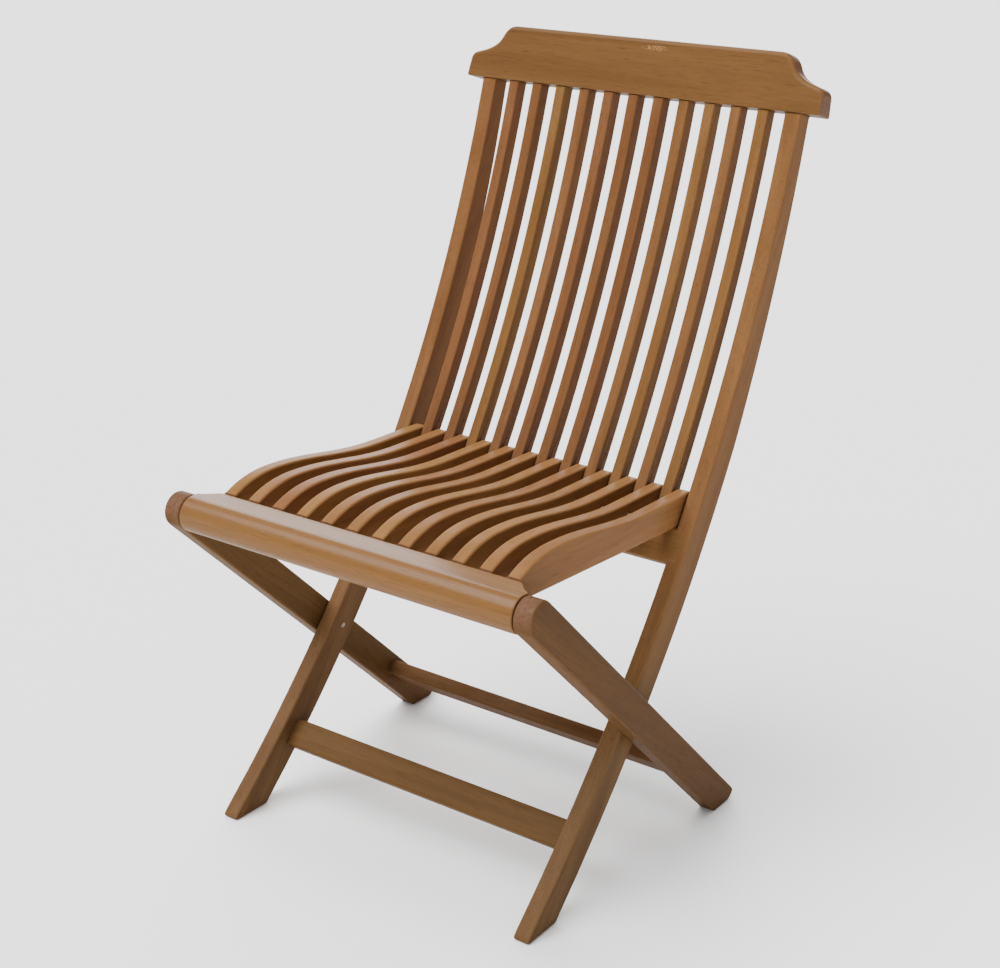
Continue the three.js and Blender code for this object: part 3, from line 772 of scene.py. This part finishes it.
class CHAIR_OT_fasteners(bpy.types.Operator):
    """Turns the pins and the rod that ties the seat slats, and finishes the washers in steel"""

    bl_idname = "chair.fasteners"
    bl_label = "Pins, washers and rod"

    def execute(self, context):
        steel = material_for("steel")
        for side, sign in (("left", -1), ("right", 1)):
            name = f"{side}_pivot_pin"
            low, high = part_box(name)
            head = (high.z - low.z) / 2
            length = high.x - low.x
            shank = head * PIVOT_PIN_SHANK
            collar = length - DOME_RISE
            profile = [(0.0, shank * PIN_TIP), (PIVOT_PIN_CHAMFER, shank), (collar, shank), (collar, head)]
            dome = [(collar + DOME_RISE * math.cos(a), head * math.sin(a)) for a in
                    (math.radians(d) for d in DOME_ANGLES)]
            turned(f"{name}_turned", name, profile + dome, sign,
                   body="back_frame", material=steel)
        for name in ("left_rail_pin", "right_rail_pin", "seat_tie_rod"):
            low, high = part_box(name)
            r, length = (high.z - low.z) / 2, high.x - low.x
            profile = [(0, r * PIN_TIP), (PIN_CHAMFER, r), (length - PIN_CHAMFER, r), (length, r * PIN_TIP)]
            turned(f"{name}_turned", name, profile, 1, body="seat", material=steel)
        for side in ("left", "right"):
            washer = frame["nodes"][f"{side}_pivot_washer"]
            for place in washer.material_slots:
                place.material = steel
        return {"FINISHED"}


class CHAIR_OT_stage(bpy.types.Operator):
    """Sets up the pale floor, the soft lights and the camera"""

    bl_idname = "chair.stage"
    bl_label = "Stage"

    def execute(self, context):
        studio = context.scene.chair_studio
        self.floor(studio)
        self.lights(studio)
        self.camera(context, studio)
        return {"FINISHED"}

    def floor(self, studio):
        """A flat sheet of pale paper that runs out to the horizon."""
        mesh = bmesh.new()
        bmesh.ops.create_grid(mesh, x_segments=2, y_segments=2, size=FLOOR_REACH)
        data = bpy.data.meshes.new("studio_floor")
        mesh.to_mesh(data)
        mesh.free()
        floor = bpy.data.objects.new("studio_floor", data)
        bpy.context.scene.collection.objects.link(floor)
        material = bpy.data.materials.new("studio_paper")
        material.use_nodes = True
        shader = material.node_tree.nodes["Principled BSDF"]
        shader.inputs["Base Color"].default_value = (*studio.floor_colour, 1)
        shader.inputs["Roughness"].default_value = 0.9
        shader.inputs["Specular IOR Level"].default_value = 0.1
        data.materials.append(material)

    def lights(self, studio):
        """An even sky, darker on two sides, a bright patch behind and one broad key light."""
        world = bpy.data.worlds.new("studio_sky")
        world.use_nodes = True
        tree = world.node_tree
        background = tree.nodes["Background"]
        background.inputs["Color"].default_value = (1, 1, 1, 1)
        around = shader_node(tree, "TexCoord").outputs["Generated"]
        towards = shader_node(tree, "SeparateXYZ", {"Vector": around}).outputs
        level = maths(tree, "SUBTRACT", maths(tree, "MULTIPLY", towards[0], -0.8), towards[1])
        lit = maths(tree, "ADD", level, towards[2])
        strength = spread(tree, lit, -0.9, 0.9, studio.shade, studio.sky)
        horizon = spread(tree, towards[2], *HORIZON, studio.sky, 0)
        strength = maths(tree, "MAXIMUM", strength, horizon)
        facing = shader_node(tree, "VectorMath", {0: around, 1: WINDOW_DIRECTION}, operation="DOT_PRODUCT")
        pane = spread(tree, facing.outputs["Value"], *WINDOW_EDGE, 0, studio.window)
        tree.links.new(maths(tree, "ADD", strength, pane), background.inputs["Strength"])
        bpy.context.scene.world = world
        key = bpy.data.lights.new("key_light", "SUN")
        key.energy = studio.key
        key.angle = studio.key_softness
        lamp = bpy.data.objects.new(key.name, key)
        lamp.location = KEY_PLACE
        lamp.rotation_euler = (-lamp.location).to_track_quat("-Z", "Y").to_euler()
        bpy.context.scene.collection.objects.link(lamp)

    def camera(self, context, studio):
        """A camera that looks back at the aim from its bearing, height and distance."""
        a, e = studio.azimuth, studio.elevation
        back = Vector((math.sin(a) * math.cos(e), -math.cos(a) * math.cos(e), math.sin(e)))
        right = (-back).cross(Z).normalized()
        up = right.cross(-back)
        tilted = right * math.cos(studio.roll) + up * math.sin(studio.roll)
        upright = up * math.cos(studio.roll) - right * math.sin(studio.roll)
        lens = bpy.data.cameras.new("camera")
        lens.sensor_width = 36.0
        lens.lens = studio.lens
        camera = bpy.data.objects.new("camera", lens)
        turn = Matrix((tilted, upright, back)).transposed().to_4x4()
        camera.matrix_world = Matrix.Translation(Vector(studio.target) + back * studio.distance) @ turn
        context.scene.collection.objects.link(camera)
        context.scene.camera = camera


STEPS = (
    CHAIR_OT_stage, CHAIR_OT_stiles, CHAIR_OT_back_slats, CHAIR_OT_top_rail, CHAIR_OT_cross_rails,
    CHAIR_OT_legs, CHAIR_OT_front_rail, CHAIR_OT_seat_slats, CHAIR_OT_fasteners,
)


class CHAIR_PT_panel(bpy.types.Panel):
    """Lists the chair's settings and the steps that make it"""

    bl_idname = "CHAIR_PT_panel"
    bl_label = "Folding Chair"
    bl_space_type = "VIEW_3D"
    bl_region_type = "UI"
    bl_category = "Chair"

    def draw(self, context):
        layout = self.layout
        for settings in (context.scene.chair_finish, context.scene.chair_edges, context.scene.chair_studio):
            box = layout.box()
            for name in settings.__annotations__:
                box.prop(settings, name)
        for step in STEPS:
            layout.operator(step.bl_idname)


CLASSES = (ChairFinish, ChairEdges, ChairStudio, *STEPS, CHAIR_PT_panel)


def register():
    for cls in CLASSES:
        bpy.utils.register_class(cls)
    bpy.types.Scene.chair_finish = PointerProperty(type=ChairFinish)
    bpy.types.Scene.chair_edges = PointerProperty(type=ChairEdges)
    bpy.types.Scene.chair_studio = PointerProperty(type=ChairStudio)


def unregister():
    del bpy.types.Scene.chair_finish
    del bpy.types.Scene.chair_edges
    del bpy.types.Scene.chair_studio
    for cls in reversed(CLASSES):
        bpy.utils.unregister_class(cls)


def main():
    """Makes the whole chair."""
    register()
    for step in STEPS:
        group, action = step.bl_idname.split(".")
        getattr(getattr(bpy.ops, group), action)()


if __name__ == "__main__":
    main()
